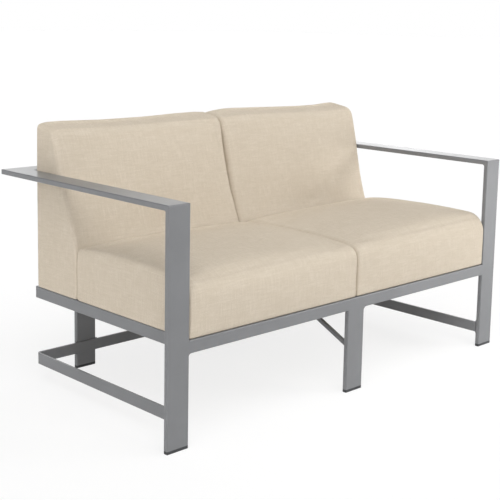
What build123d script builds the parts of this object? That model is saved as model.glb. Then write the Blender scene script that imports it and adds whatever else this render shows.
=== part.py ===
from build123d import *
import os

os.makedirs("parts", exist_ok=True)

# ---------------------------------------------------------------- dimensions
# millimetres. X is the width, -Y is the front, +Z is up, Z = 0 is the floor.
WIDTH = 1552.0            # outside of one front leg to the outside of the other
FLAT_W = 76.2             # broad face of the flat tube used for legs, arms, rear top rail
FLAT_T = 15.9             # its thickness
FLAT_R = 3.2              # its corner radius
WALL = 2.8                # wall of the flat tube
POST_Y = 754.0            # front face of the rear posts, from the front face of the front legs
DEPTH = 837.0             # front face of the front legs to the rear edge of the rear top rail
ARM_TOP = 689.3

RAIL_H = 38.1             # seat rails: height, thickness, radius, wall
RAIL_T = 15.9
RAIL_R = 3.0
RAIL_WALL = 2.4
SEAT_TOP = 308.3          # top of the seat rails
SIDE_RAIL_IN = 79.0       # outside of the leg to the outside of the seat side rail
SEAT_CORNER_R = 6.0       # rear corners of the seat frame

BAR_T = 6.35              # lower stretchers: flat bar
BAR_BOTTOM = 54.8
BAR_TOP = 91.3
SIDE_BAR_IN = 71.5        # outside of the leg to the outside of the side stretcher
BAR_R = 0.9
BAR_CORNER_R = 13.0      # outer radius of its bends

REAR_POST_X = 509.0       # centre of a rear leg
GLIDE_H = 9.5             # part of a glide below the tube
PLUG_H = 22.0             # part of a glide inside the tube

SLAT_W = 38.1             # seat slats
SLAT_T = 4.8
SLAT_COUNT = 6

BRACE = 12.7              # square brace behind the centre leg
BRACE_Z = 135.4           # height of its axis at the back of the centre leg
BRACE_SLOPE = 0.4764      # rise over run

ARM_WELD_R = 8.0          # concave weld fillets
RAIL_WELD_R = 8.0
BAR_WELD_R = 7.0
LEG_WELD_R = 13.0         # the larger one beside the centre leg
POST_WELD_R = 5.0
MITRE_R = 2.6             # outer corners of the rear mitres
BEND_R = 4.6              # outer corner between a front leg and its arm

CUSHION_X0 = 2.0          # seat and back cushions: half gap between them at the middle
CUSHION_X1 = 696.0        # outer side
CUSHION_Z0 = SEAT_TOP + 0.3
SEAT_Y0 = 0.5             # front face of a seat cushion
SEAT_Y1 = 535.0           # rear face of a seat cushion
SEAT_EDGE_F = 473.5       # height of its top edge at the front, crown and rear
SEAT_CROWN = 497.0
SEAT_EDGE_R = 473.5
BACK_Y0 = 538.0           # front face of a back cushion, below the seat cushion's top
BACK_Y1 = POST_Y - 0.6    # rear face of a back cushion
BACK_KNEE_Z = 481.5       # where its front face starts to slant
BACK_TOP_Y = 646.0        # front edge of its top
BACK_TOP_Z = 822.5
BACK_REAR_Z = 843.5
SEAT_R = 18.0             # rounding of the cushions' edges
BACK_R = 16.0
COVER_T = 1.5
GAP = 0.5
WRAP_T = 12.0
ZIP_W = 24.0
ZIP_L = 560.0

# ---------------------------------------------------------------- helpers
HALF = WIDTH / 2
Y0 = -DEPTH / 2           # the front faces of the front legs
INNER = HALF - FLAT_W     # inner edges of the front legs
PARTS = {}


def keep(name, shape):
    PARTS[name] = shape
    shape.label = name
    export_step(shape, "parts/%s.step" % name)


def box(x0, x1, y0, y1, z0, z1):
    return Pos((x0 + x1) / 2, (y0 + y1) / 2, (z0 + z1) / 2) * Box(x1 - x0, y1 - y0, z1 - z0)


def tube(axis, x0, x1, y0, y1, z0, z1, r, wall):
    """A hollow rounded tube that fills the given box and runs along axis. A wall of 0 makes it solid."""
    dx, dy, dz = x1 - x0, y1 - y0, z1 - z0
    c = ((x0 + x1) / 2, (y0 + y1) / 2, (z0 + z1) / 2)
    if axis == "Z":
        plane, w, h, length = Plane(origin=(c[0], c[1], z0), x_dir=(1, 0, 0), z_dir=(0, 0, 1)), dx, dy, dz
    elif axis == "Y":
        plane, w, h, length = Plane(origin=(c[0], y0, c[2]), x_dir=(1, 0, 0), z_dir=(0, 1, 0)), dx, dz, dy
    else:
        plane, w, h, length = Plane(origin=(x0, c[1], c[2]), x_dir=(0, 1, 0), z_dir=(1, 0, 0)), dy, dz, dx
    face = RectangleRounded(w, h, r)
    if wall:
        face -= RectangleRounded(w - 2 * wall, h - 2 * wall, max(0.6, r - wall))
    return extrude(plane * face, amount=length)


def prism(plane, points, length):
    return extrude(plane * make_face(Polyline(*points, close=True)), amount=length)


def mirror_x(shape):
    return mirror(shape, about=Plane.YZ)


YZ = Plane(origin=(-2000, 0, 0), x_dir=(0, 1, 0), z_dir=(1, 0, 0))    # local x is Y, local y is Z, extrudes along +X
XY = Plane(origin=(0, 0, -500), x_dir=(1, 0, 0), z_dir=(0, 0, 1))

# ---------------------------------------------------------------- front legs, arms, rear top rail
# side outline of the leg and arm together, with its outer corner rounded
side_outline = extrude(
    YZ * fillet((Pos(Y0 + DEPTH / 2, ARM_TOP / 2 - 50) * Rectangle(DEPTH, ARM_TOP + 100)).vertices().group_by(Axis.Y)[-1].sort_by(Axis.X)[0], BEND_R),
    amount=4000,
)
# plan outline of the arms and the rear top rail together, with its rear corners rounded
plan_outline = extrude(
    XY * fillet((Pos(0, 0) * Rectangle(WIDTH, DEPTH)).vertices().group_by(Axis.Y)[-1], MITRE_R + 1.4),
    amount=2000,
)
low_mitre = prism(YZ, [(Y0 - 60, ARM_TOP + 60), (Y0 + FLAT_T + 60, ARM_TOP - FLAT_T - 60), (Y0 + 900, ARM_TOP - FLAT_T - 60), (Y0 + 900, ARM_TOP + 60)], 4000)
rear_mitre = prism(
    XY,
    [(-HALF - 60, -Y0 + 60), (-INNER + 60, -Y0 - FLAT_W - 60), (INNER - 60, -Y0 - FLAT_W - 60), (HALF + 60, -Y0 + 60)],
    2000,
)

leg = tube("Z", -HALF, -INNER, Y0, Y0 + FLAT_T, GLIDE_H, ARM_TOP, FLAT_R, WALL)
leg = (leg - low_mitre) & side_outline
keep("front_leg_left", leg)
keep("front_leg_right", mirror_x(leg))

arm = tube("Y", -HALF, -INNER, Y0, -Y0, ARM_TOP - FLAT_T, ARM_TOP, FLAT_R, WALL)
arm = (((arm & low_mitre) - rear_mitre) & side_outline) & plan_outline
keep("arm_left", arm)
keep("arm_right", mirror_x(arm))

top_rail = tube("X", -HALF, HALF, -Y0 - FLAT_W, -Y0, ARM_TOP - FLAT_T, ARM_TOP, FLAT_R, WALL)
top_rail = (top_rail & rear_mitre) & plan_outline
keep("rear_top_rail", top_rail)

centre_leg = tube("Z", -FLAT_W / 2, FLAT_W / 2, Y0, Y0 + FLAT_T, GLIDE_H, SEAT_TOP - RAIL_H, FLAT_R, WALL)
keep("centre_front_leg", centre_leg)

# ---------------------------------------------------------------- seat frame
zb, zt = SEAT_TOP - RAIL_H, SEAT_TOP
PY0 = Y0 + POST_Y                 # front face of the rear posts
PY1 = PY0 + FLAT_T                # their rear face
SX = HALF - SIDE_RAIL_IN          # outer faces of the side rails

front_rail = tube("X", -INNER, INNER, Y0, Y0 + RAIL_T, zb, zt, RAIL_R, RAIL_WALL)
keep("seat_front_rail", front_rail)

seat_plan = extrude(XY * fillet((Pos(0, (Y0 + PY1) / 2) * Rectangle(2 * SX, PY1 - Y0)).vertices().group_by(Axis.Y)[-1], SEAT_CORNER_R), amount=2000)
seat_mitre = prism(XY, [(-SX - 60, PY1 + 60), (-SX + RAIL_T + 60, PY1 - RAIL_T - 60), (SX - RAIL_T - 60, PY1 - RAIL_T - 60), (SX + 60, PY1 + 60)], 2000)
side_rail = tube("Y", -SX, -SX + RAIL_T, Y0 + RAIL_T, PY1, zb, zt, RAIL_R, RAIL_WALL)
side_rail = (side_rail - seat_mitre) & seat_plan
keep("seat_side_rail_left", side_rail)
keep("seat_side_rail_right", mirror_x(side_rail))

rear_rail = tube("X", -SX, SX, PY1 - RAIL_T, PY1, zb, zt, RAIL_R, RAIL_WALL)
rear_rail = (rear_rail & seat_mitre) & seat_plan
keep("seat_rear_rail", rear_rail)

beam = tube("Y", -RAIL_T / 2, RAIL_T / 2, Y0 + RAIL_T, PY0, zb, zt, RAIL_R, RAIL_WALL)
keep("seat_centre_beam", beam)

# slats: flat bars across each half of the seat, tops flush with the rails
pitch = (PY0 - Y0 - RAIL_T) / SLAT_COUNT
slats = []
for i in range(SLAT_COUNT):
    yc = Y0 + RAIL_T + (i + 0.5) * pitch
    slats.append(tube("X", -SX + RAIL_T, -RAIL_T / 2, yc - SLAT_W / 2, yc + SLAT_W / 2, zt - 1.0 - SLAT_T, zt - 1.0, 0.8, 0))
keep("seat_slats_left", Compound(children=slats))
keep("seat_slats_right", Compound(children=[mirror_x(s) for s in slats]))

# ---------------------------------------------------------------- rear legs and back uprights
rear_leg = tube("Z", -REAR_POST_X - FLAT_W / 2, -REAR_POST_X + FLAT_W / 2, PY0, PY1, GLIDE_H, zb, FLAT_R, WALL)
keep("rear_leg_left", rear_leg)
keep("rear_leg_right", mirror_x(rear_leg))

upright = tube("Z", -REAR_POST_X - FLAT_W / 2, -REAR_POST_X + FLAT_W / 2, PY0, PY1, zt, ARM_TOP - FLAT_T, FLAT_R, WALL)
keep("back_upright_left", upright)
keep("back_upright_right", mirror_x(upright))
keep("back_upright_centre", Pos(REAR_POST_X, 0, 0) * upright)

# ---------------------------------------------------------------- lower stretchers
# one flat bar bent to a U, welded to the front of the rear legs and to the back of the front legs
BX = HALF - SIDE_BAR_IN           # outer faces of the side stretchers
BY = PY0                          # rear face of the rear stretcher
YF = Y0 + FLAT_T                  # rear faces of the front legs


def u_shape(half, rear, r):
    return fillet((Pos(0, (Y0 + rear) / 2) * Rectangle(2 * half, rear - Y0)).vertices().group_by(Axis.Y)[-1], r)


u_face = u_shape(BX, BY, BAR_CORNER_R) - u_shape(BX - BAR_T, BY - BAR_T, BAR_CORNER_R - BAR_T)
u_bar = extrude(Plane(origin=(0, 0, BAR_BOTTOM), x_dir=(1, 0, 0), z_dir=(0, 0, 1)) * u_face, amount=BAR_TOP - BAR_BOTTOM)
u_bar = u_bar & box(-HALF, HALF, YF, BY + 10, 0, 200)
bar_mitre = prism(XY, [(-BX - 60, BY + 60), (-BX + BAR_CORNER_R + 60, BY - BAR_CORNER_R - 60), (BX - BAR_CORNER_R - 60, BY - BAR_CORNER_R - 60), (BX + 60, BY + 60)], 2000)
side_bar = (u_bar - bar_mitre) & box(-HALF, 0, Y0, BY + 10, 0, 200)
keep("side_stretcher_left", side_bar)
keep("side_stretcher_right", mirror_x(side_bar))
rear_bar = u_bar & bar_mitre
keep("rear_stretcher", rear_bar)

# ---------------------------------------------------------------- brace behind the centre leg
ya, za = Y0 + FLAT_T, BRACE_Z
yb = ya + (zb - za) / BRACE_SLOPE
run, rise = yb - ya, zb - za
length = (run ** 2 + rise ** 2) ** 0.5
brace_plane = Plane(origin=(0, ya - 60 * run / length, za - 60 * rise / length), x_dir=(1, 0, 0), z_dir=(0, run / length, rise / length))
brace = extrude(brace_plane * (RectangleRounded(BRACE, BRACE, 1.2) - RectangleRounded(BRACE - 3.2, BRACE - 3.2, 0.6)), amount=length + 140)
brace = brace & box(-50, 50, ya, yb + 200, 0, zb)
keep("centre_leg_brace", brace)

# ---------------------------------------------------------------- weld fillets
def corner(r, sx=1, sy=1):
    """The area between two walls and a concave arc: walls along the local axes, towards sx and sy."""
    return Pos(sx * r / 2, sy * r / 2) * Rectangle(r, r) - Pos(sx * r, sy * r) * Circle(r)


def side_plane(x, y, z):
    return Plane(origin=(x, y, z), x_dir=(0, 1, 0), z_dir=(1, 0, 0))      # local x is Y, local y is Z


def front_plane(x, y, z):
    return Plane(origin=(x, y, z), x_dir=(1, 0, 0), z_dir=(0, -1, 0))     # local x is X, local y is Z, extrudes towards the front


def floor_plane(x, y, z):
    return Plane(origin=(x, y, z), x_dir=(1, 0, 0), z_dir=(0, 0, 1))


welds = []
for s in (-1, 1):
    leg_x = -HALF if s < 0 else INNER
    leg_bar = tube("Z", leg_x, leg_x + FLAT_W, Y0, YF, GLIDE_H, ARM_TOP, FLAT_R, 0)
    # arm to front leg, in the inside corner
    welds.append(extrude(side_plane(leg_x + FLAT_R, YF, ARM_TOP - FLAT_T) * corner(ARM_WELD_R, 1, -1), amount=FLAT_W - 2 * FLAT_R))
    # front rail to front leg: below the rail, and ground flush in front
    welds.append(extrude(front_plane(s * INNER, Y0 + RAIL_T - 2.0, zb) * corner(RAIL_WELD_R, -s, -1), amount=RAIL_T - 4.0))
    flush = box(min(s * INNER, s * (INNER + FLAT_R)), max(s * INNER, s * (INNER + FLAT_R)), Y0, Y0 + FLAT_R, zb + RAIL_R, zt - RAIL_R)
    welds.append(flush - leg_bar)
    # side stretcher to front leg, above and below
    x0, x1 = sorted((s * (INNER + 0.8), s * (BX - 0.5)))
    for zz, up in ((BAR_TOP, 1), (BAR_BOTTOM, -1)):
        bead = extrude(side_plane(x0, YF, zz) * corner(BAR_WELD_R, 1, up), amount=x1 - x0)
        root = box(x0, x1, YF - FLAT_R, YF, min(zz, zz + up * BAR_WELD_R), max(zz, zz + up * BAR_WELD_R)) - leg_bar
        welds.append(bead + root)
    # rear leg to rear stretcher, behind the bar on both sides of the leg
    post = tube("Z", s * REAR_POST_X - FLAT_W / 2, s * REAR_POST_X + FLAT_W / 2, PY0, PY1, GLIDE_H, zb, FLAT_R, 0)
    for side in (-1, 1):
        xe = s * REAR_POST_X + side * FLAT_W / 2
        bead = extrude(floor_plane(xe, PY0, BAR_BOTTOM - 2.5) * corner(POST_WELD_R, side, 1), amount=BAR_TOP - BAR_BOTTOM + 5.0)
        root = box(min(xe, xe - side * FLAT_R), max(xe, xe - side * FLAT_R), PY0, PY0 + POST_WELD_R, BAR_BOTTOM - 2.5, BAR_TOP + 2.5) - post
        welds.append(bead + root)
# centre leg to front rail: a larger fillet on its right side, and ground flush in front
welds.append(extrude(front_plane(FLAT_W / 2, Y0 + RAIL_T - 2.0, zb) * corner(LEG_WELD_R, 1, -1), amount=RAIL_T - 4.0))
welds.append(extrude(side_plane(-FLAT_W / 2 + FLAT_R, Y0, zb) * corner(RAIL_R, 1, 1), amount=FLAT_W - 2 * FLAT_R))
keep("corner_welds", Compound(children=welds))

# ---------------------------------------------------------------- glides
def glide(xc, yc):
    foot = extrude(Pos(xc, yc, 0) * RectangleRounded(FLAT_W, FLAT_T, FLAT_R), amount=GLIDE_H)
    foot = fillet(foot.faces().sort_by(Axis.Z)[0].edges(), 2.0)
    plug_face = RectangleRounded(FLAT_W - 2 * WALL - 0.6, FLAT_T - 2 * WALL - 0.6, 0.6)
    plug_face -= RectangleRounded(FLAT_W - 2 * WALL - 5.0, FLAT_T - 2 * WALL - 5.0, 0.6)
    return foot + extrude(Pos(xc, yc, GLIDE_H) * plug_face, amount=PLUG_H)


fy, ry = Y0 + FLAT_T / 2, PY0 + FLAT_T / 2
keep("glide_front_left", glide(-HALF + FLAT_W / 2, fy))
keep("glide_front_centre", glide(0, fy))
keep("glide_front_right", glide(HALF - FLAT_W / 2, fy))
keep("glide_rear_left", glide(-REAR_POST_X, ry))
keep("glide_rear_right", glide(REAR_POST_X, ry))

# ---------------------------------------------------------------- cushions
def seat_face(d):
    y0, y1, z0 = Y0 + SEAT_Y0 + d, Y0 + SEAT_Y1 - d, CUSHION_Z0 + d
    a, m, b = (y0, SEAT_EDGE_F - d), ((y0 + y1) / 2, SEAT_CROWN - d), (y1, SEAT_EDGE_R - d)
    return make_face([Line((y0, z0), a), ThreePointArc(a, m, b), Line(b, (y1, z0)), Line((y1, z0), (y0, z0))])


def back_face(d):
    pts = [
        (Y0 + BACK_Y0, CUSHION_Z0), (Y0 + BACK_Y0, BACK_KNEE_Z), (Y0 + BACK_TOP_Y, BACK_TOP_Z),
        (Y0 + BACK_Y1, BACK_REAR_Z), (Y0 + BACK_Y1, CUSHION_Z0),
    ]
    face = make_face(Polyline(*pts, close=True))
    return offset(face, amount=-d, kind=Kind.INTERSECTION) if d else face


def pad(face_of, d, r):
    plane = Plane(origin=(-CUSHION_X1 + d, 0, 0), x_dir=(0, 1, 0), z_dir=(1, 0, 0))
    solid = extrude(plane * face_of(d), amount=CUSHION_X1 - CUSHION_X0 - 2 * d)
    return fillet(solid.edges(), max(2.0, r - d))


def cushion(name, face_of, r, zip_y, zip_z):
    outer, inner = pad(face_of, 0, r), pad(face_of, COVER_T, r)
    xm = -(CUSHION_X0 + CUSHION_X1) / 2
    slot = box(xm - ZIP_L / 2, xm + ZIP_L / 2, zip_y - 3, zip_y + 3, zip_z - ZIP_W / 2, zip_z + ZIP_W / 2)
    cover = outer - inner - slot
    wrap = pad(face_of, COVER_T + GAP, r) - pad(face_of, COVER_T + GAP + WRAP_T, r)
    core = pad(face_of, COVER_T + 2 * GAP + WRAP_T, r)
    tape = box(xm - ZIP_L / 2 + 0.2, xm + ZIP_L / 2 - 0.2, zip_y - 1.4, zip_y - 0.5, zip_z - ZIP_W / 2 + 0.2, zip_z + ZIP_W / 2 - 0.2)
    teeth = box(xm - ZIP_L / 2 + 4, xm + ZIP_L / 2 - 4, zip_y - 0.6, zip_y - 0.1, zip_z - 2.5, zip_z + 2.5)
    zipper = tape + teeth
    for side, fix in (("left", lambda s: s), ("right", mirror_x)):
        keep("%s_%s_cover" % (name, side), fix(cover))
        keep("%s_%s_wrap" % (name, side), fix(wrap))
        keep("%s_%s_core" % (name, side), fix(core))
        keep("%s_%s_zip" % (name, side), fix(zipper))


cushion("seat_cushion", seat_face, SEAT_R, Y0 + SEAT_Y1, 385.0)
cushion("back_cushion", back_face, BACK_R, Y0 + BACK_Y1, 345.0)

print(len(PARTS), "parts")
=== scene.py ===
import bpy
import math
import numpy as np
from mathutils import Matrix, Vector


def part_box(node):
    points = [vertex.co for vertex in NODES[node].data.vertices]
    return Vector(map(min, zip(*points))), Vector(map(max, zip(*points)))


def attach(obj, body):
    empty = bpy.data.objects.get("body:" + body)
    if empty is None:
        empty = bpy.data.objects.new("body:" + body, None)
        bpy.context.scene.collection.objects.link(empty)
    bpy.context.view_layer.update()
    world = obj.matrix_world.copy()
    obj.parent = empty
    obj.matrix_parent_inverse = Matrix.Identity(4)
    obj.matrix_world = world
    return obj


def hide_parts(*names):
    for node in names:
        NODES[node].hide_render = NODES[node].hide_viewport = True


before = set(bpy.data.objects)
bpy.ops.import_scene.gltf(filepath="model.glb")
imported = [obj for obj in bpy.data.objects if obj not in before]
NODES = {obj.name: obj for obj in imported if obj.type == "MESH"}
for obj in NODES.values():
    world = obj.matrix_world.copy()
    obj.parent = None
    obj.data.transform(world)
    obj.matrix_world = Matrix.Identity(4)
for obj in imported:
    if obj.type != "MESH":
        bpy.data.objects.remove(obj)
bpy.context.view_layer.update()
scene = bpy.context.scene

# the front faces of the front legs are at this Y; the floor is Z = 0
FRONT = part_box("front_leg_left")[0].y
MM = 0.001


# ---------------------------------------------------------------- camera
def make_camera():
    yaw, pitch, roll = (math.radians(a) for a in (44.028, -8.4231, 1.0675))
    fwd = Vector((math.sin(yaw) * math.cos(pitch), math.cos(yaw) * math.cos(pitch), math.sin(pitch)))
    right = Vector((math.cos(yaw), -math.sin(yaw), 0))
    up = right.cross(fwd)
    r = right * math.cos(roll) + up * math.sin(roll)
    u = -right * math.sin(roll) + up * math.cos(roll)
    data = bpy.data.cameras.new("camera")
    data.sensor_fit = "HORIZONTAL"
    data.sensor_width = 36.0
    data.lens = 1059.442 / 500 * 36.0
    data.shift_x = 0.0
    data.shift_y = (173.5516 - 250.0) / 500
    data.clip_start, data.clip_end = 0.05, 200
    data.dof.use_dof = False
    cam = bpy.data.objects.new("camera", data)
    place = Vector((-2.52443, -2.11249 + FRONT, 1.18406))
    cam.matrix_world = Matrix((
        (r.x, u.x, -fwd.x, place.x),
        (r.y, u.y, -fwd.y, place.y),
        (r.z, u.z, -fwd.z, place.z),
        (0, 0, 0, 1),
    ))
    scene.collection.objects.link(cam)
    scene.camera = cam


make_camera()


# ---------------------------------------------------------------- node helpers
class Graph:
    """Short ways to add shader nodes."""

    def __init__(self, name):
        self.mat = bpy.data.materials.new(name)
        self.mat.use_nodes = True
        self.nt = self.mat.node_tree
        self.bsdf = self.nt.nodes["Principled BSDF"]

    def put(self, value, socket):
        if isinstance(value, bpy.types.NodeSocket):
            self.nt.links.new(value, socket)
        else:
            socket.default_value = value

    def math(self, op, a, b=0.0, c=None, clamp=False):
        n = self.nt.nodes.new("ShaderNodeMath")
        n.operation, n.use_clamp = op, clamp
        self.put(a, n.inputs[0])
        self.put(b, n.inputs[1])
        if c is not None:
            self.put(c, n.inputs[2])
        return n.outputs[0]

    def vector(self, x, y, z=0.0):
        n = self.nt.nodes.new("ShaderNodeCombineXYZ")
        for v, s in zip((x, y, z), n.inputs):
            self.put(v, s)
        return n.outputs[0]

    def split(self, v):
        n = self.nt.nodes.new("ShaderNodeSeparateXYZ")
        self.put(v, n.inputs[0])
        return n.outputs

    def scale(self, v, by):
        n = self.nt.nodes.new("ShaderNodeVectorMath")
        n.operation = "MULTIPLY"
        self.put(v, n.inputs[0])
        n.inputs[1].default_value = by
        return n.outputs[0]

    def add(self, v, w):
        n = self.nt.nodes.new("ShaderNodeVectorMath")
        n.operation = "ADD"
        self.put(v, n.inputs[0])
        self.put(w, n.inputs[1])
        return n.outputs[0]

    def noise(self, v, scale, detail=2.0, rough=0.5, distortion=0.0):
        n = self.nt.nodes.new("ShaderNodeTexNoise")
        self.put(v, n.inputs["Vector"])
        n.inputs["Scale"].default_value = scale
        n.inputs["Detail"].default_value = detail
        n.inputs["Roughness"].default_value = rough
        n.inputs["Distortion"].default_value = distortion
        return n.outputs["Fac"]

    def remap(self, v, a, b, c=0.0, d=1.0, smooth=False):
        n = self.nt.nodes.new("ShaderNodeMapRange")
        n.interpolation_type = "SMOOTHSTEP" if smooth else "LINEAR"
        self.put(v, n.inputs[0])
        for value, socket in zip((a, b, c, d), n.inputs[1:5]):
            socket.default_value = value
        return n.outputs[0]

    def mix(self, fac, a, b, blend="MIX"):
        n = self.nt.nodes.new("ShaderNodeMix")
        n.data_type, n.blend_type = "RGBA", blend
        self.put(fac, n.inputs[0])
        self.put(a, n.inputs[6])
        self.put(b, n.inputs[7])
        return n.outputs[2]

    def bump(self, height, strength, distance, normal=None):
        n = self.nt.nodes.new("ShaderNodeBump")
        n.inputs["Strength"].default_value = strength
        n.inputs["Distance"].default_value = distance
        self.put(height, n.inputs["Height"])
        if normal is not None:
            self.put(normal, n.inputs["Normal"])
        return n.outputs[0]

    def coords(self, what):
        return self.nt.nodes.new("ShaderNodeTexCoord").outputs[what]

    def uv(self, name):
        n = self.nt.nodes.new("ShaderNodeUVMap")
        n.uv_map = name
        return n.outputs[0]

    def set(self, **inputs):
        for k, v in inputs.items():
            self.put(v, self.bsdf.inputs[k.replace("_", " ")])
        return self.mat


def rgb(r, g, b):
    """sRGB 0-255 as linear."""
    return tuple(((c / 255) / 12.92 if c / 255 <= 0.04045 else ((c / 255 + 0.055) / 1.055) ** 2.4) for c in (r, g, b)) + (1.0,)


# ---------------------------------------------------------------- materials
def powder_coat(name, base):
    """Satin powder coat over aluminium: fine orange peel, faint mottling, and metal flakes drawn as painted glints."""
    g = Graph(name)
    p = g.coords("Object")
    mottle = g.noise(p, 9.0, 3.0, 0.55)
    flake = g.noise(p, 1500.0, 1.0, 0.5)
    dark = tuple(c * 0.955 for c in base[:3]) + (1,)
    light = tuple(min(1, c * 1.05) for c in base[:3]) + (1,)
    colour = g.mix(g.remap(mottle, 0.3, 0.7), dark, light)
    # metal flakes in the coat, drawn as lighter specks in the colour: painted glints of the flakes
    spark = g.remap(flake, 0.60, 0.78, 0.0, 0.16)
    colour = g.mix(spark, colour, tuple(min(1, c * 1.7) for c in base[:3]) + (1,))
    peel = g.noise(p, 420.0, 2.0, 0.5)
    fine = g.noise(p, 1300.0, 1.0, 0.5)
    normal = g.bump(peel, 0.22, 0.00022)
    normal = g.bump(fine, 0.16, 0.00008, normal)
    rough = g.remap(mottle, 0.25, 0.75, 0.27, 0.34)
    return g.set(Base_Color=colour, Roughness=rough, Normal=normal, Metallic=0.0, IOR=1.5, Specular_IOR_Level=0.5)


def moulded(name, base, rough=0.5):
    """Dark moulded nylon with a fine spark texture."""
    g = Graph(name)
    p = g.coords("Object")
    grain = g.noise(p, 900.0, 2.0, 0.6)
    scuff = g.noise(p, 60.0, 4.0, 0.6)
    colour = g.mix(g.remap(scuff, 0.35, 0.75), base, tuple(min(1, c * 1.7 + 0.006) for c in base[:3]) + (1,))
    return g.set(Base_Color=colour, Roughness=g.remap(scuff, 0.3, 0.7, rough - 0.06, rough + 0.1), Normal=g.bump(grain, 0.3, 0.00012))


def woven(name, base):
    """Heathered plain weave, with painted shade in the hollows between the threads. The map 'cloth' holds metres along
    the two thread directions.
    """
    g = Graph(name)
    x, y, _ = g.split(g.uv("cloth"))
    # slightly wavy threads
    flat = g.vector(x, y)
    wobble = g.math("MULTIPLY", g.math("SUBTRACT", g.noise(flat, 90.0, 2.0), 0.5), 0.0011)
    xs, ys = g.math("ADD", x, wobble), g.math("ADD", y, wobble)
    pitch = 0.00115
    # plain weave: two sets of threads over and under each other
    a = g.math("MULTIPLY", xs, math.pi / pitch)
    b = g.math("MULTIPLY", ys, math.pi / pitch)
    sa, sb = g.math("SINE", a), g.math("SINE", b)
    over = g.math("MULTIPLY", g.math("COSINE", a), g.math("COSINE", b))
    warp = g.math("MULTIPLY", g.math("ABSOLUTE", sa), g.remap(over, -1, 1, 0.45, 1.0))
    weft = g.math("MULTIPLY", g.math("ABSOLUTE", sb), g.remap(over, -1, 1, 1.0, 0.45))
    height = g.math("MAXIMUM", warp, weft)
    # yarns differ along their length and from thread to thread
    warp_id = g.vector(g.math("MULTIPLY", xs, 870.0), g.math("MULTIPLY", ys, 26.0))
    weft_id = g.vector(g.math("MULTIPLY", xs, 26.0), g.math("MULTIPLY", ys, 870.0), 7.3)
    warp_tone = g.noise(warp_id, 1.0, 2.0, 0.6)
    weft_tone = g.noise(weft_id, 1.0, 2.0, 0.6)
    # slubs: thicker lengths of single threads, which read at a distance
    warp_band = g.noise(g.vector(g.math("MULTIPLY", xs, 230.0), g.math("MULTIPLY", ys, 18.0), 3.1), 1.0, 3.0, 0.62)
    weft_band = g.noise(g.vector(g.math("MULTIPLY", xs, 20.0), g.math("MULTIPLY", ys, 250.0), 9.7), 1.0, 3.0, 0.62)
    cloudy = g.noise(flat, 7.0, 3.0, 0.55)
    dark = tuple(c * k for c, k in zip(base[:3], (0.80, 0.775, 0.73))) + (1,)
    light = tuple(min(1, c * k) for c, k in zip(base[:3], (1.10, 1.115, 1.15))) + (1,)
    # random yarn tone times thread height: painted shade where the threads dip between one another
    yarn_tone_and_hollow_shade = g.math("MAXIMUM", g.math("MULTIPLY", warp, warp_tone), g.math("MULTIPLY", weft, weft_tone))
    yarn_tone_and_hollow_shade = g.remap(yarn_tone_and_hollow_shade, 0.22, 0.74)
    colour = g.mix(yarn_tone_and_hollow_shade, dark, light)
    bands = g.math("ADD", g.remap(warp_band, 0.25, 0.75, -0.6, 0.6), g.remap(weft_band, 0.25, 0.75, -0.5, 0.5))
    bands = g.math("ADD", bands, g.remap(cloudy, 0.25, 0.75, -0.12, 0.12))
    colour = g.mix(g.remap(bands, -0.1, 1.1, 0.0, 0.47), colour, light)
    colour = g.mix(g.remap(bands, 0.1, -1.1, 0.0, 0.40), colour, dark)
    # painted shade: the colour is darkened further in the hollows between the threads
    thread_hollow_shade = g.remap(height, 0.12, 0.5, 0.72, 1.0)
    colour = g.mix(1.0, colour, g.vector(thread_hollow_shade, thread_hollow_shade, thread_hollow_shade), "MULTIPLY")
    normal = g.bump(height, 0.55, 0.00035)
    normal = g.bump(g.math("ADD", warp_band, weft_band), 0.20, 0.0003, normal)
    return g.set(Base_Color=colour, Roughness=g.remap(yarn_tone_and_hollow_shade, 0.0, 1.0, 0.93, 0.80), Normal=normal,
                 Specular_IOR_Level=0.15)


PAINT = rgb(119, 120, 122)
CLOTH = rgb(217, 206, 190)
paint = powder_coat("powder_coat", PAINT)
nylon = moulded("nylon_glide", rgb(44, 45, 47))
fabric = woven("fabric", CLOTH)
resin = moulded("zip_resin", rgb(176, 162, 136), 0.45)

for name, obj in NODES.items():
    if "cushion" in name:
        continue
    material = nylon if name.startswith("glide") else paint
    obj.data.materials.clear()
    obj.data.materials.append(material)


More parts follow.
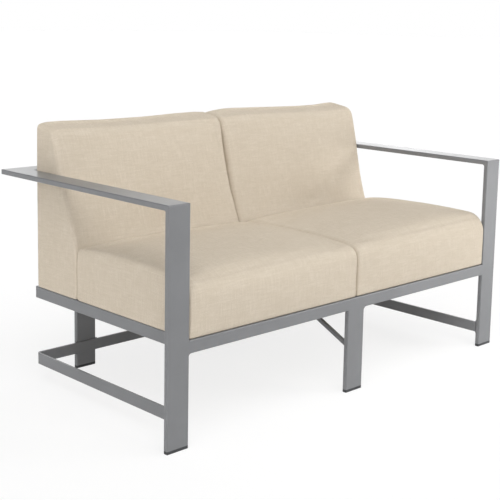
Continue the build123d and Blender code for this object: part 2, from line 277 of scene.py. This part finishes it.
# ---------------------------------------------------------------- cushions
def rounded_profile(points, radii, counts):
    """A closed polygon with rounded corners, walked from corner to corner.

    Side k runs from the middle of corner k's arc to the middle of corner k + 1's, in counts[k] steps of even length.
    Returns the points, their outward normals, the length along the loop, and where each point is on its side (k + 0..1)."""
    n = len(points)
    pts = [np.array(p, float) for p in points]
    pieces = []
    for k in range(n):
        p, a, b = pts[k], pts[k - 1], pts[(k + 1) % n]
        u, v = (a - p) / np.linalg.norm(a - p), (b - p) / np.linalg.norm(b - p)
        half = 0.5 * math.acos(float(np.clip(u @ v, -1, 1)))
        r = radii[k]
        cut = r / math.tan(half)
        c = p + (u + v) / np.linalg.norm(u + v) * (r / math.sin(half))
        s, e = p + u * cut, p + v * cut
        t0, t1 = math.atan2(*(s - c)[::-1]), math.atan2(*(e - c)[::-1])
        d = (t1 - t0 + math.pi) % (2 * math.pi) - math.pi
        arc = [c + r * np.array((math.cos(t0 + d * i / 16), math.sin(t0 + d * i / 16))) for i in range(17)]
        pieces.append(arc)
    out, where = [], []
    for k in range(n):
        first, second = pieces[k][8:], pieces[(k + 1) % n][:9]
        line = np.array(first + second)
        seg = np.r_[0, np.cumsum(np.linalg.norm(np.diff(line, axis=0), axis=1))]
        at = np.linspace(0, seg[-1], counts[k] + 1)[:-1]
        out.append(np.stack([np.interp(at, seg, line[:, 0]), np.interp(at, seg, line[:, 1])], 1))
        where.append(k + at / seg[-1])
    loop = np.concatenate(out)
    step = np.roll(loop, -1, 0) - np.roll(loop, 1, 0)
    normal = np.stack([step[:, 1], -step[:, 0]], 1)
    normal /= np.linalg.norm(normal, axis=1)[:, None]
    centre = loop.mean(0)
    if ((loop - centre) * normal).sum() < 0:
        normal = -normal
    length = np.r_[0, np.cumsum(np.linalg.norm(np.diff(loop, axis=0), axis=1))]
    return loop, normal, length, np.concatenate(where)


def smooth(a, b, t):
    t = np.clip((t - a) / (b - a), 0, 1)
    return t * t * (3 - 2 * t)


def stations(length, edge):
    """Distances along the width: close together next to the seams."""
    near = [0.0, 0.0015, 0.004, 0.0075, 0.012, 0.0175, 0.025]
    n = max(2, round((length - 2 * near[-1]) / edge))
    middle = np.linspace(near[-1], length - near[-1], n + 1)
    return np.r_[near[:-1], middle, [length - d for d in near[:-1][::-1]]]


def cushion_mesh(name, x0, x1, profile, nb, nf, edges, warp):
    """A boxed cushion: one band of cloth round the profile, and a panel at each end.

    profile gives (points, radii, steps per side) in Y, Z. An end panel has nb steps along its bottom and top, and nf up its front and rear.
    edges is the rounding where the band turns to an end panel: for each end, one radius for each side of the profile.
    warp moves all points to the real, uneven shape."""
    xs = stations(x1 - x0, 0.0084)
    loop, normal, length, where = rounded_profile(*profile)
    m, n = len(loop), len(edges[0])
    edge_r = []
    for end in edges:
        knots, values = [], []
        for k in range(n):
            knots += [k, k + 0.25, k + 0.75]
            values += [0.5 * (end[k - 1] + end[k]), end[k], end[k]]
        edge_r.append(np.interp(where, knots + [n], values + [values[0]]))
    co = []
    round_len = length[-1] + np.linalg.norm(loop[0] - loop[-1])
    for d in xs:
        near = min(d, (x1 - x0) - d)
        r = edge_r[0] if d < 0.5 * (x1 - x0) else edge_r[1]
        inset = r - np.sqrt(np.maximum(0.0, r ** 2 - np.maximum(0.0, r - near) ** 2))
        ring = loop - normal * inset[:, None]
        co.append(np.column_stack([np.full(m, x0 + d), ring]))
    band = np.array(co)                                  # stations x loop
    rows = len(xs)
    verts = [band.reshape(-1, 3)]
    faces, uvs = [], []
    idx = np.arange(rows * m).reshape(rows, m)
    for i in range(rows - 1):
        for j in range(m):
            k = (j + 1) % m
            faces.append((idx[i, j], idx[i + 1, j], idx[i + 1, k], idx[i, k]))
            v0, v1 = length[j], (length[k] if k else round_len)
            uvs.append(((xs[i], v0), (xs[i + 1], v0), (xs[i + 1], v1), (xs[i], v1)))
    base = rows * m
    for end, i in ((0, 0), (1, rows - 1)):
        ring = band[i]
        bottom = ring[0:nb + 1]
        front = ring[nb:nb + nf + 1]
        top = ring[nb + nf:2 * nb + nf + 1][::-1]
        rear = np.vstack([ring[2 * nb + nf:], ring[:1]])[::-1]
        grid = np.zeros((nb + 1, nf + 1, 3))
        for a in range(nb + 1):
            s = a / nb
            for b in range(nf + 1):
                t = b / nf
                grid[a, b] = (
                    (1 - t) * bottom[a] + t * top[a] + (1 - s) * rear[b] + s * front[b]
                    - (1 - s) * (1 - t) * bottom[0] - s * (1 - t) * bottom[-1] - (1 - s) * t * top[0] - s * t * top[-1]
                )
        number = -np.ones((nb + 1, nf + 1), int)
        number[:, 0] = idx[i, np.arange(0, nb + 1)]
        number[nb, :] = idx[i, np.arange(nb, nb + nf + 1)]
        number[:, nf] = idx[i, np.arange(nb + nf, 2 * nb + nf + 1)[::-1]]
        number[0, :] = idx[i, np.r_[np.arange(2 * nb + nf, m), 0][::-1]]
        inner = []
        for a in range(1, nb):
            for b in range(1, nf):
                number[a, b] = base
                base += 1
                inner.append(grid[a, b])
        verts.append(np.array(inner))
        for a in range(nb):
            for b in range(nf):
                quad = [(a, b), (a + 1, b), (a + 1, b + 1), (a, b + 1)]
                if end == 1:
                    quad = quad[::-1]
                faces.append(tuple(number[q] for q in quad))
                uvs.append(tuple((grid[q][1] + 3.0 * (end + 1), grid[q][2]) for q in quad))
    co = np.concatenate(verts)
    me = bpy.data.meshes.new(name)
    me.from_pydata(warp(co).tolist(), [], [tuple(int(v) for v in f) for f in faces])
    layer = me.uv_layers.new(name="cloth")
    layer.uv.foreach_set("vector", np.array([c for f in uvs for c in f], np.float32).ravel())
    # how far each point is from the nearer seam, negative on the end panels
    end_panel = np.zeros(len(co), bool)
    end_panel[rows * m:] = True
    dist = np.minimum(co[:, 0] - x0, x1 - co[:, 0])
    for e in (0, rows - 1):
        ring = band[e][:, 1:]
        side = end_panel & (np.abs(co[:, 0] - band[e][0, 0]) < 1e-6)
        if side.any():
            d = np.sqrt(((co[side][:, None, 1:] - ring[None]) ** 2).sum(2)).min(1)
            dist[side] = -d
    attr = me.attributes.new("seam", "FLOAT", "POINT")
    attr.data.foreach_set("value", dist.astype(np.float32))
    me.validate()
    me.update()
    obj = bpy.data.objects.new(name, me)
    scene.collection.objects.link(obj)
    return obj, dist


def value_noise(p, seed, scale):
    """Smooth noise from a few random waves; p is N x 3 in metres."""
    r = np.random.default_rng(seed)
    out = np.zeros(len(p))
    for _ in range(24):
        k = r.normal(size=3)
        k *= scale * (0.5 + r.random()) / np.linalg.norm(k)
        out += np.sin(p @ k + r.random() * 6.283)
    return out / math.sqrt(12)


def simulate(obj, rest, free, cap, pressure=-4.0, frames=20):
    """The cover starts a little too full, and is drawn in evenly until it lies on its filling. free is 0 where a point is held and 1 where it may move."""
    me = obj.data
    group = obj.vertex_groups.new(name="held")
    for w in np.unique(np.round(free, 2)):
        if w < 1:
            group.add([int(i) for i in np.nonzero(np.round(free, 2) == w)[0]], float(1 - w), "REPLACE")
    mod = obj.modifiers.new("cloth", "CLOTH")
    s = mod.settings
    s.quality = 6
    s.mass = 0.35
    s.air_damping = 6.0
    s.tension_stiffness = s.compression_stiffness = 22.0
    s.shear_stiffness = 9.0
    s.bending_stiffness = 1.2
    s.tension_damping = s.compression_damping = s.shear_damping = 12.0
    s.use_pressure = True
    s.uniform_pressure_force = pressure
    s.vertex_group_mass = "held"
    s.pin_stiffness = 1.0
    s.effector_weights.gravity = 0.0
    mod.collision_settings.use_collision = False
    mod.collision_settings.use_self_collision = False
    mod.point_cache.frame_start, mod.point_cache.frame_end = 1, frames
    for f in range(1, frames + 1):
        scene.frame_set(f)
    dg = bpy.context.evaluated_depsgraph_get()
    out = np.array([v.co for v in obj.evaluated_get(dg).data.vertices], float)
    obj.modifiers.remove(mod)
    scene.frame_set(1)
    move = out - rest
    size = np.linalg.norm(move, axis=1)
    print(obj.name, "drawn in by up to %.1f mm, mean %.1f" % (size.max() * 1000, size.mean() * 1000))
    move *= (cap * np.tanh(size / cap) / np.maximum(size, 1e-9))[:, None]
    me.vertices.foreach_set("co", (rest + move).astype(np.float32).ravel())
    me.update()


def positions(obj):
    co = np.zeros(len(obj.data.vertices) * 3)
    obj.data.vertices.foreach_get("co", co)
    return co.reshape(-1, 3)


def normals(obj):
    out = np.zeros(len(obj.data.vertices) * 3, np.float32)
    obj.data.vertex_normals.foreach_get("vector", out)
    return out.reshape(-1, 3).astype(float)


def subdivide(obj, levels=1):
    mod = obj.modifiers.new("sub", "SUBSURF")
    mod.levels = mod.render_levels = levels
    mod.boundary_smooth = "ALL"
    bpy.context.view_layer.update()
    dg = bpy.context.evaluated_depsgraph_get()
    me = bpy.data.meshes.new_from_object(obj.evaluated_get(dg), preserve_all_data_layers=True, depsgraph=dg)
    obj.modifiers.remove(mod)
    old, obj.data = obj.data, me
    bpy.data.meshes.remove(old)
    me.name = obj.name


ZIP_LENGTH, ZIP_WIDTH, ZIP_DEEP = 0.560, 0.024, 0.0028


def finish_cushion(obj, seed, hold, limit, outer, rear, zip_z, rolls):
    """After the simulation: seams, small puckers next to them, faint unevenness of the filling.

    outer is +1 or -1, the end towards the arm, where the seam is looser and shows less. rolls is how softly the cover turns over there."""
    subdivide(obj)
    co = positions(obj)
    d = np.zeros(len(co), np.float32)
    obj.data.attributes["seam"].data.foreach_get("value", d)
    d = np.abs(d.astype(float))
    # at the outer end the cover rolls over softly
    links = np.zeros(2 * len(obj.data.edges), np.int32)
    obj.data.edges.foreach_get("vertices", links)
    a, b = links[0::2], links[1::2]
    count = np.bincount(links, minlength=len(co))[:, None]
    roll = smooth(0.034, 0.014, d) * smooth(0.60, 0.64, outer * co[:, 0])
    roll *= smooth(0.003, 0.030, rear - co[:, 1]) * smooth(Z0 + 0.001, Z0 + 0.012, co[:, 2])
    for _ in range(rolls):
        total = np.stack([np.bincount(a, co[b, k], len(co)) + np.bincount(b, co[a, k], len(co)) for k in range(3)], 1)
        co += (0.55 * roll)[:, None] * (total / count - co)
    obj.data.vertices.foreach_set("co", co.astype(np.float32).ravel())
    obj.data.update()
    n = normals(obj)
    free = hold(co)
    groove = -0.0007 * np.exp(-((d / 0.0016) ** 2)) + 0.0004 * np.exp(-(((d - 0.0052) / 0.003) ** 2))
    pucker = 0.00022 * value_noise(co, seed, 330.0) * np.exp(-d / 0.010)
    loose = 1 - 0.92 * smooth(0.5, 0.65, outer * co[:, 0])
    groove, pucker = groove * loose, pucker * loose
    soft = 0.00035 * value_noise(co, seed + 1, 30.0) + 0.00016 * value_noise(co, seed + 2, 75.0)
    co = co + n * (groove + (pucker + soft) * free)[:, None]
    co = limit(co)
    # the zip lies in a shallow channel in the rear face
    middle = 0.5 * (co[:, 0].min() + co[:, 0].max())
    across = smooth(0.5 * ZIP_WIDTH + 0.006, 0.5 * ZIP_WIDTH, np.abs(co[:, 2] - zip_z))
    along = smooth(0.5 * ZIP_LENGTH + 0.012, 0.5 * ZIP_LENGTH + 0.002, np.abs(co[:, 0] - middle))
    co[:, 1] -= ZIP_DEEP * across * along * smooth(0.012, 0.002, rear - co[:, 1])
    obj.data.vertices.foreach_set("co", co.astype(np.float32).ravel())
    obj.data.shade_smooth()
    obj.data.update()
    obj.data.materials.clear()
    obj.data.materials.append(fabric)


class Parts:
    """Collects small closed shapes into one mesh, with a map in metres for the cloth material."""

    def __init__(self):
        self.co, self.faces = [], []

    def grid(self, rings, cap=True):
        """Rings of equal length, joined along, with a point or a face at the ends."""
        base = len(self.co)
        n = len(rings[0])
        for ring in rings:
            self.co += [tuple(p) for p in ring]
        for i in range(len(rings) - 1):
            for j in range(n):
                k = (j + 1) % n
                self.faces.append((base + i * n + j, base + i * n + k, base + (i + 1) * n + k, base + (i + 1) * n + j))
        if cap:
            self.faces.append(tuple(base + j for j in range(n))[::-1])
            self.faces.append(tuple(base + (len(rings) - 1) * n + j for j in range(n)))

    def bead(self, centre, half, axis=0, around=8, along=5):
        """A rounded bead: half sizes along x, y, z, its long way along the axis."""
        others = [k for k in range(3) if k != axis]
        rings = []
        for i in range(1, along + 1):
            t = math.pi * i / (along + 1)
            ring = []
            for j in range(around):
                a = 2 * math.pi * j / around
                p = list(centre)
                p[axis] -= half[axis] * math.cos(t)
                p[others[0]] += half[others[0]] * math.sin(t) ** 0.6 * math.cos(a)
                p[others[1]] += half[others[1]] * math.sin(t) ** 0.6 * math.sin(a)
                ring.append(p)
            rings.append(ring if axis != 1 else ring[::-1])
        self.grid(rings)

    def bar(self, x0, x1, y, z, hy, hz, r, arcs=3):
        """A straight bar along x with rounded corners, closed and rounded a little at its ends."""
        outline = []
        for q, (sy, sz) in enumerate(((1, 1), (-1, 1), (-1, -1), (1, -1))):
            for i in range(arcs + 1):
                a = math.pi / 2 * (q + i / arcs)
                outline.append((sy * (hy - r) + r * math.cos(a), sz * (hz - r) + r * math.sin(a)))
        rings = []
        steps = max(2, int((x1 - x0) / 0.02))
        where = [(x0, 0.7), (x0 + 0.4 * r, 0.93), (x0 + r, 1.0)]
        where += [(x0 + r + (x1 - x0 - 2 * r) * i / steps, 1.0) for i in range(1, steps)]
        where += [(x1 - r, 1.0), (x1 - 0.4 * r, 0.93), (x1, 0.7)]
        for x, k in where:
            rings.append([(x, y + a * k, z + b * k) for a, b in outline])
        self.grid(rings)

    def make(self, name, material, body):
        me = bpy.data.meshes.new(name)
        me.from_pydata(self.co, [], self.faces)
        layer = me.uv_layers.new(name="cloth")
        index = np.zeros(len(me.loops), np.int32)
        me.loops.foreach_get("vertex_index", index)
        layer.uv.foreach_set("vector", np.array(self.co, np.float32)[index][:, [0, 2]].ravel())
        me.validate()
        me.shade_smooth()
        me.materials.append(material)
        obj = bpy.data.objects.new(name, me)
        scene.collection.objects.link(obj)
        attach(obj, body)
        return obj


def zipper(body, xm, rear, z):
    """Coil zip in its channel: tape, coil, slider and pull, between two stitched lips of the cover."""
    x0, x1 = xm - 0.5 * ZIP_LENGTH, xm + 0.5 * ZIP_LENGTH
    deep = rear - ZIP_DEEP
    chain = Parts()
    chain.bar(x0, x1, deep + 0.0003, z, 0.0004, 0.0045, 0.0003, 1)
    pitch = 0.0018
    for i in range(int((ZIP_LENGTH - 0.012) / pitch)):
        side = 1 if i % 2 else -1
        chain.bead((x0 + 0.006 + i * pitch, deep + 0.0013, z + side * 0.0006), (0.00085, 0.0008, 0.0019), 2, 6, 4)
    xs = x1 - 0.020
    chain.bar(xs - 0.005, xs + 0.005, deep + 0.0017, z, 0.0009, 0.0042, 0.0008)
    chain.bar(xs - 0.0035, xs + 0.0005, deep + 0.0023, z, 0.0004, 0.0010, 0.0003, 2)
    chain.bar(xs - 0.024, xs - 0.002, deep + 0.0023, z, 0.00035, 0.0030, 0.0003, 2)
    for x in (x0 + 0.003, x1 - 0.003):
        chain.bar(x - 0.0015, x + 0.0015, deep + 0.0012, z, 0.0010, 0.0032, 0.0006, 2)
    piece = chain.make(body + "_zip_chain", resin, body)
    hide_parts(body + "_zip")
    lips = Parts()
    for s in (-1, 1):
        lips.bar(x0 - 0.004, x1 + 0.004, deep + 0.0006, z + s * 0.0078, 0.0007, 0.0043, 0.0006)
        for i in range(int(ZIP_LENGTH / 0.0036)):
            lips.bead((x0 + 0.002 + i * 0.0036, deep + 0.0013, z + s * 0.0058), (0.0014, 0.00025, 0.00030), 0, 6, 3)
    lips.make(body + "_zip_lips", fabric, body)


Z0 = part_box("seat_front_rail")[1].z + 0.0002     # undersides of the cushions, on the rails
SEAT_TOP = 0.4735
ARM_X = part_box("arm_right")[0].x          # inner faces of the arms
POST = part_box("back_upright_left")[0].y   # front faces of the posts behind the back cushions

# height of a seat cushion's top along its two end seams, from the front of the legs
SEAT_SEAM = {
    "outer_left": [(-10, 464.5), (5, 466.5), (60, 474.5), (120, 480.5), (223, 484.5), (317, 484), (415, 480.5), (500, 474.5), (530, 470.5)],
    "inner": [(-10, 462.5), (5, 464.5), (55, 471.5), (154, 478.5), (273, 481.5), (419, 479), (500, 473.5), (532, 468.5)],
    "outer_right": [(-10, 483.5), (5, 486.5), (60, 494.5), (154, 498.5), (277, 498.5), (424, 493.5), (500, 486.5), (532, 478.5)],
}


def seat(side):
    outer = ARM_X - 0.0012
    inner = 0.0012 if side == "left" else 0.0034
    x0, x1 = (-outer, -inner) if side == "left" else (inner, outer)
    y0, y1 = FRONT + 0.0015, FRONT + 0.5353
    # bottom from rear to front, front upwards, top from front to rear, rear downwards
    points = [(y1, Z0), (y0, Z0), (y0, SEAT_TOP), (y1, SEAT_TOP)]
    radii = [0.006, 0.004, 0.050, 0.016]
    if side == "left":
        edges = ([0.004, 0.010, 0.018, 0.006], [0.004, 0.005, 0.006, 0.006])
    else:
        edges = ([0.004, 0.014, 0.020, 0.012], [0.004, 0.004, 0.007, 0.006])
    ends = (SEAT_SEAM["outer_left"], SEAT_SEAM["inner"]) if side == "left" else (SEAT_SEAM["inner"], SEAT_SEAM["outer_right"])
    rise = 0.021 if side == "left" else 0.022

    def warp(co):
        co = co.copy()
        x, y, z = co.T
        t = np.clip((x - x0) / (x1 - x0), 0, 1)
        # the top's front corner is squarer towards the middle of the bench
        a, b = (y0 + radii[2] - y) / radii[2], (z - SEAT_TOP + radii[2]) / radii[2]
        inside = (a > 0) & (b > 0)
        a, b = np.maximum(a, 1e-6), np.maximum(b, 1e-6)
        reach = np.hypot(a, b) / (a ** 3.4 + b ** 3.4) ** (1 / 3.4)
        reach = 1 + (reach - 1) * smooth(0.60, 1.0, t if side == "left" else 1 - t)
        y = np.where(inside, y0 + radii[2] * (1 - a * reach), y)
        z = np.where(inside, SEAT_TOP + radii[2] * (b * reach - 1), z)
        co[:, 1] = y
        ym = (y - FRONT) * 1000
        h0 = np.interp(ym, *zip(*ends[0])) * MM
        h1 = np.interp(ym, *zip(*ends[1])) * MM
        seam_h = h0 * (1 - t) + h1 * t
        u = 2 * t - 1
        full = 1 - np.abs(u) ** 3
        along = smooth(-0.06, 0.10, y - y0) * (0.35 + 0.65 * smooth(-0.01, 0.20, y1 - y))
        crown = rise * full * along + 0.004 * (1 - np.exp(-np.minimum(x - x0, x1 - x) / 0.012))
        top = seam_h + crown
        k = np.clip((z - Z0) / (SEAT_TOP - Z0), 0, 1.2)
        co[:, 2] = Z0 + k * (top - Z0)
        # the front swells a little between its seams
        belly = 0.009 * (1 - np.abs(u) ** 2.5) * np.sin(np.pi * np.clip(k, 0, 1) ** 0.9) * smooth(0.12, 0.0, y - y0)
        co[:, 1] -= belly
        return co

    obj, dist = cushion_mesh("seat_cushion_" + side, x0, x1, (points, radii, (62, 20, 62, 20)), 62, 20, edges, warp)
    rest = positions(obj)

    def hold(co):
        """1 where the cover is free, 0 where it rests on or against something."""
        y, z = co[:, 1], co[:, 2]
        low = smooth(Z0 + 0.001, Z0 + 0.030, z)
        back = smooth(0.004, 0.05, y1 - y)
        return low * back

    def limit(co):
        co = co.copy()
        co[:, 0] = np.clip(co[:, 0], -(ARM_X - 0.0004), ARM_X - 0.0004)
        co[:, 0] = np.minimum(co[:, 0], -0.0004) if side == "left" else np.maximum(co[:, 0], 0.0004)
        co[:, 1] = np.minimum(co[:, 1], FRONT + 0.5360)
        co[:, 2] = np.maximum(co[:, 2], Z0 - 0.0001)
        return co

    free = hold(rest)
    end = dist < 0
    seam_free = np.where(rest[:, 0] * (1 if side == "right" else -1) > 0.35, 0.32, 0.10)
    free = free * np.where(end, seam_free + 0.15 * smooth(0.0, 0.05, -dist), seam_free + (1 - seam_free) * smooth(0.0, 0.045, dist))
    front_face = smooth(0.03, 0.0, rest[:, 1] - y0)
    free = free * (1 - 0.55 * front_face)
    simulate(obj, rest, free, 0.007)
    zip_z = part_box("seat_cushion_%s_zip" % side)
    zip_z = 0.5 * (zip_z[0].z + zip_z[1].z)
    finish_cushion(obj, 11 if side == "left" else 23, hold, limit, -1 if side == "left" else 1, y1, zip_z, 16 if side == "left" else 2)
    zipper("seat_cushion_" + side, 0.5 * (x0 + x1), y1, zip_z)
    body = "seat_cushion_" + side
    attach(obj, body)
    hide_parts(body + "_cover", body + "_wrap", body + "_core")
    return obj


def back(side):
    outer, inner = ARM_X - 0.0016, 0.0048 if side == "left" else 0.0016
    x0, x1 = (-outer, -inner) if side == "left" else (inner, outer)
    yr = POST - 0.0008
    z_knee, z_top, z_rear = 0.4695, 0.8255, 0.843
    y_knee, y_top = FRONT + 0.5380, FRONT + 0.648
    points = [(yr, Z0), (y_knee, Z0), (y_knee, z_knee), (y_top, z_top), (yr, z_rear)]
    radii = [0.005, 0.006, 0.030, 0.046, 0.016]
    if side == "left":
        edges = ([0.004, 0.006, 0.016, 0.014, 0.0045], [0.004, 0.006, 0.006, 0.006, 0.004])
    else:
        edges = ([0.004, 0.016, 0.026, 0.016, 0.0045], [0.004, 0.010, 0.014, 0.008, 0.0045])

    # front offsets from the plain wedge, along its outer and inner seams, by height
    left_seam = [(308.5, -1), (469.5, -1), (503.5, -1), (547.5, 3), (595.5, 9), (644.5, 12), (702.5, 12), (783.5, 10), (848.5, 9)]
    middle_seam = [(308.5, 1), (458.5, 3), (503.5, 8), (582.5, 11), (681.5, 7), (765.5, 3), (831.5, 2), (848.5, 2)]
    right_seam = [(308.5, 1), (443.5, 6), (483.5, 12), (587.5, 10), (663.5, 3), (703.5, -2), (760.5, -6), (813.5, -8), (848.5, -8)]
    if side == "left":
        ends = (left_seam, middle_seam)
    else:
        ends = ([(z, d + 4) for z, d in middle_seam], right_seam)
    # heights of the top's rear edge
    if side == "left":
        crest = [(-0.699, 840.5), (-0.671, 845.5), (-0.612, 846.5), (-0.466, 842.5), (-0.298, 842.5), (-0.120, 847.5), (-0.054, 848.5), (-0.002, 845.5)]
    else:
        crest = [(0.002, 843.5), (0.044, 849.5), (0.089, 853.5), (0.135, 854), (0.272, 850.5), (0.469, 845.5), (0.579, 846.5), (0.640, 850.5), (0.671, 851.5), (0.699, 846.5)]

    def warp(co):
        co = co.copy()
        x, y, z = co.T
        t = np.clip((x - x0) / (x1 - x0), 0, 1)
        u = 2 * t - 1
        zm = z * 1000
        d = (np.interp(zm, *zip(*ends[0])) * (1 - t) + np.interp(zm, *zip(*ends[1])) * t) * MM
        front_y = np.where(z < z_knee, y_knee, y_knee + (z - z_knee) / (z_top - z_knee) * (y_top - y_knee))
        k = np.clip((yr - y) / np.maximum(yr - front_y, 0.02), 0, 1.2)
        bulge = 0.011 * (1 - u * u) * smooth(0.48, 0.62, z) * smooth(0.0, 0.12, 0.845 - z)
        co[:, 1] = y + k * (d - bulge)
        top = np.interp(x, *zip(*crest)) * MM - z_rear
        co[:, 2] = z + top * smooth(0.60, 0.83, z)
        if side == "left":
            # the inner end pulls in between its corners
            co[:, 0] = x - 0.0075 * smooth(0.80, 1.0, t) * smooth(0.48, 0.66, zm * 0.001) * smooth(0.84, 0.72, zm * 0.001)
        return co

    # the front has two sides, below and above the knee
    obj, dist = cushion_mesh("back_cushion_" + side, x0, x1, (points, radii, (26, 20, 42, 26, 62)), 26, 62, edges, warp)
    rest = positions(obj)

    def hold(co):
        y, z = co[:, 1], co[:, 2]
        low = smooth(Z0 + 0.001, Z0 + 0.022, z)
        rear = smooth(0.002, 0.03, yr - y)
        lap = smooth(0.455, 0.50, z)
        return low * rear * (0.15 + 0.85 * lap)

    def limit(co):
        co = co.copy()
        co[:, 0] = np.clip(co[:, 0], -(ARM_X - 0.0004), ARM_X - 0.0004)
        co[:, 0] = np.minimum(co[:, 0], -0.0006) if side == "left" else np.maximum(co[:, 0], 0.0006)
        low = co[:, 2] < 0.450
        co[low, 1] = np.maximum(co[low, 1], FRONT + 0.5368)
        co[:, 1] = np.minimum(co[:, 1], POST - 0.0003)
        co[:, 2] = np.maximum(co[:, 2], Z0 - 0.0001)
        return co

    free = hold(rest)
    end = dist < 0
    seam_free = np.where(rest[:, 0] * (1 if side == "right" else -1) > 0.35, 0.32, 0.12)
    free = free * np.where(end, seam_free + 0.15 * smooth(0.0, 0.05, -dist), seam_free + (1 - seam_free) * smooth(0.0, 0.04, dist))
    simulate(obj, rest, free, 0.007)
    zip_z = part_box("back_cushion_%s_zip" % side)
    zip_z = 0.5 * (zip_z[0].z + zip_z[1].z)
    finish_cushion(obj, 37 if side == "left" else 53, hold, limit, -1 if side == "left" else 1, yr, zip_z, 16 if side == "left" else 8)
    zipper("back_cushion_" + side, 0.5 * (x0 + x1), yr, zip_z)
    body = "back_cushion_" + side
    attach(obj, body)
    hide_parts(body + "_cover", body + "_wrap", body + "_core")
    return obj


seat("left")
seat("right")
back("left")
back("right")


# ---------------------------------------------------------------- floor, light
def make_floor():
    """A wide pale floor. Seen directly it is over-lit, so that only a faint shadow is left on it."""
    me = bpy.data.meshes.new("floor")
    s = 60.0
    me.from_pydata([(-s, -s, 0), (s, -s, 0), (s, s, 0), (-s, s, 0)], [], [(0, 1, 2, 3)])
    floor = bpy.data.objects.new("floor", me)
    scene.collection.objects.link(floor)
    g = Graph("floor")
    g.set(Base_Color=(0.90, 0.90, 0.90, 1), Roughness=0.9, Specular_IOR_Level=0.1)
    seen = g.nt.nodes.new("ShaderNodeLightPath")
    share = g.math("MULTIPLY", seen.outputs["Is Camera Ray"], 0.74)
    glow = g.nt.nodes.new("ShaderNodeEmission")
    glow.inputs["Strength"].default_value = 1.04
    mix = g.nt.nodes.new("ShaderNodeMixShader")
    out = next(n for n in g.nt.nodes if n.type == "OUTPUT_MATERIAL")
    g.nt.links.new(share, mix.inputs[0])
    g.nt.links.new(g.bsdf.outputs[0], mix.inputs[1])
    g.nt.links.new(glow.outputs[0], mix.inputs[2])
    g.nt.links.new(mix.outputs[0], out.inputs[0])
    me.materials.append(g.mat)


def make_world():
    """White studio light: large soft sources on the left and above, smaller ones in front on the right and behind."""
    world = bpy.data.worlds.new("world")
    scene.world = world
    world.use_nodes = True
    nt = world.node_tree
    back = nt.nodes["Background"]
    direction = nt.nodes.new("ShaderNodeTexCoord").outputs["Generated"]
    total = None
    for (az, el), inner, outer, power in LIGHTS:
        az, el = math.radians(az), math.radians(el)
        aim = (math.sin(az) * math.cos(el), -math.cos(az) * math.cos(el), math.sin(el))
        dot = nt.nodes.new("ShaderNodeVectorMath")
        dot.operation = "DOT_PRODUCT"
        nt.links.new(direction, dot.inputs[0])
        dot.inputs[1].default_value = aim
        lobe = nt.nodes.new("ShaderNodeMapRange")
        lobe.interpolation_type = "SMOOTHSTEP"
        nt.links.new(dot.outputs["Value"], lobe.inputs[0])
        for value, socket in zip((math.cos(math.radians(outer)), math.cos(math.radians(inner)), 0.0, power), lobe.inputs[1:5]):
            socket.default_value = value
        add = nt.nodes.new("ShaderNodeMath")
        add.operation = "ADD"
        add.inputs[1].default_value = AMBIENT
        if total is not None:
            nt.links.new(total, add.inputs[1])
        nt.links.new(lobe.outputs[0], add.inputs[0])
        total = add.outputs[0]
    # the backdrop itself is plain white
    seen = nt.nodes.new("ShaderNodeLightPath")
    pick = nt.nodes.new("ShaderNodeMix")
    pick.data_type = "FLOAT"
    nt.links.new(seen.outputs["Is Camera Ray"], pick.inputs[0])
    nt.links.new(total, pick.inputs[2])
    pick.inputs[3].default_value = 1.0
    back.inputs[0].default_value = (1, 1, 1, 1)
    nt.links.new(pick.outputs[0], back.inputs[1])


def softbox(name, place, target, size, power):
    data = bpy.data.lights.new(name, "AREA")
    data.shape, data.size, data.size_y = "RECTANGLE", size[0], size[1]
    data.energy = power
    obj = bpy.data.objects.new(name, data)
    obj.location = place
    obj.rotation_euler = (Vector(target) - Vector(place)).to_track_quat("-Z", "Y").to_euler()
    obj.visible_camera = False
    scene.collection.objects.link(obj)


# where each light is (degrees from the front towards the right, degrees up), its full and outer half width, its strength
AMBIENT = 0.0
LIGHTS = (
    ((-90, 6), 4, 34, 3.32),
    ((120, 6), 4, 34, 0.27),
    ((150, 6), 4, 34, 1.24),
    ((-60, 32), 4, 34, 1.08),
    ((-30, 32), 4, 34, 0.13),
    ((0, 32), 4, 34, 0.14),
    ((90, 32), 4, 34, 0.53),
    ((120, 32), 4, 34, 0.09),
    ((-30, 60), 4, 34, 3.30),
    ((40, 24), 3, 13, 5.90),
    ((55, 34), 3, 13, 3.50),
    ((104, 24), 3, 13, 4.07),
    ((104, 10), 3, 13, 4.89),
    ((128, 10), 3, 13, 1.69),
    ((158, 10), 3, 13, 1.61),
    ((48, 18), 2, 7, 1.96),
    ((56, 20), 2, 7, 2.93),
    ((64, 22), 2, 7, 2.67),
    ((72, 23), 2, 7, 1.84),
    ((80, 24), 2, 7, 1.47),
    ((90, 24), 2, 7, 2.63),
)
make_floor()
make_world()
softbox("softbox_low", (1.9, -1.9, 0.35), (0.6, -0.4, 0.3), (0.8, 0.7), 9.6)
softbox("softbox_right", (2.7, -0.9, 0.5), (0.5, -0.2, 0.35), (1.0, 1.0), 5.6)
scene.view_settings.view_transform = "Standard"
scene.view_settings.look = "None"
scene.view_settings.exposure = 0.0
scene.view_settings.gamma = 1.0
